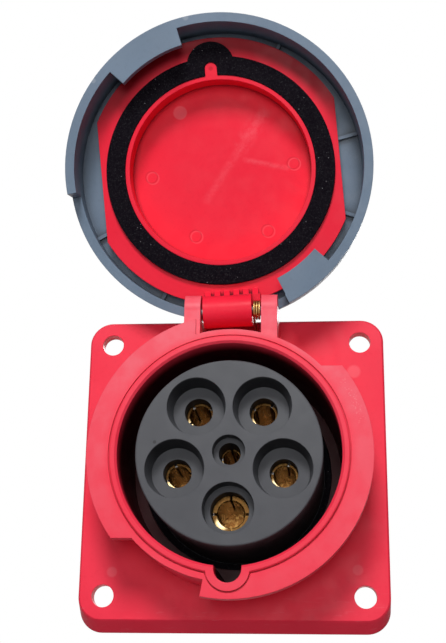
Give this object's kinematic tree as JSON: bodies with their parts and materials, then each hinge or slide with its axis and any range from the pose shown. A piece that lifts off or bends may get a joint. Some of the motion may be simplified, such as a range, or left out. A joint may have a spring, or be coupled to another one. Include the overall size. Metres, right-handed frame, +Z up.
{
  "type": "industrial wall socket",
  "caption": "Red square-flange panel socket with a round collar, a dark insert with pin holes, a hinged lid with a black gasket and a grey bayonet locking ring.",
  "frame": {"origin": "on the socket axis, in the rear face of the mounting plate, at the centre of the four mounting holes", "axes": "+Z up the wall, -Y out of the wall towards the user, +X to the right seen from the front"},
  "size_m": [0.1247, 0.1128, 0.2377],
  "materials": {
    "red_plastic": "satin moulded",
    "grey_plastic": "satin moulded",
    "dark_insulator": "dull moulded",
    "black_rubber": "dull",
    "brass": "turned",
    "spring_steel": "bright",
    "screw_steel": "zinc plated",
    "pin_steel": "bright",
    "spring_gold": "yellow passivated"
  },
  "bodies": {
    "housing": {"flange_housing": "red_plastic", "contact_carrier": "dark_insulator", "terminal_carrier": "dark_insulator", "flange_gasket": "black_rubber", "carrier_seal": "black_rubber", "torsion_spring": "spring_gold", "hinge_pin": "pin_steel", "terminal_screws": "screw_steel", "pilot_screw": "screw_steel", "carrier_screws": "screw_steel", "contact_l1": "brass", "spring_ring_l1": "spring_steel", "contact_l2": "brass", "spring_ring_l2": "spring_steel", "contact_l3": "brass", "spring_ring_l3": "spring_steel", "contact_n": "brass", "spring_ring_n": "spring_steel", "contact_earth": "brass", "spring_ring_earth": "spring_steel", "contact_pilot": "brass", "spring_ring_pilot": "spring_steel"},
    "lid": {"lid_cap": "red_plastic", "lid_gasket": "black_rubber"},
    "ring": {"locking_ring": "grey_plastic"}
  },
  "joints": [
    {"name": "lid_hinge", "type": "hinge", "parent": "housing", "child": "lid", "pos_m": [0, -0.0255, 0.0572], "axis": [0.9992, 0, 0.041], "range_deg": [0, 163]},
    {"name": "ring_turn", "type": "hinge", "parent": "lid", "child": "ring", "pos_m": [-0.00428, -0.0666, 0.10426], "axis": [0.012, -0.9563, -0.2921], "range_deg": [0, 62]}
  ]
}
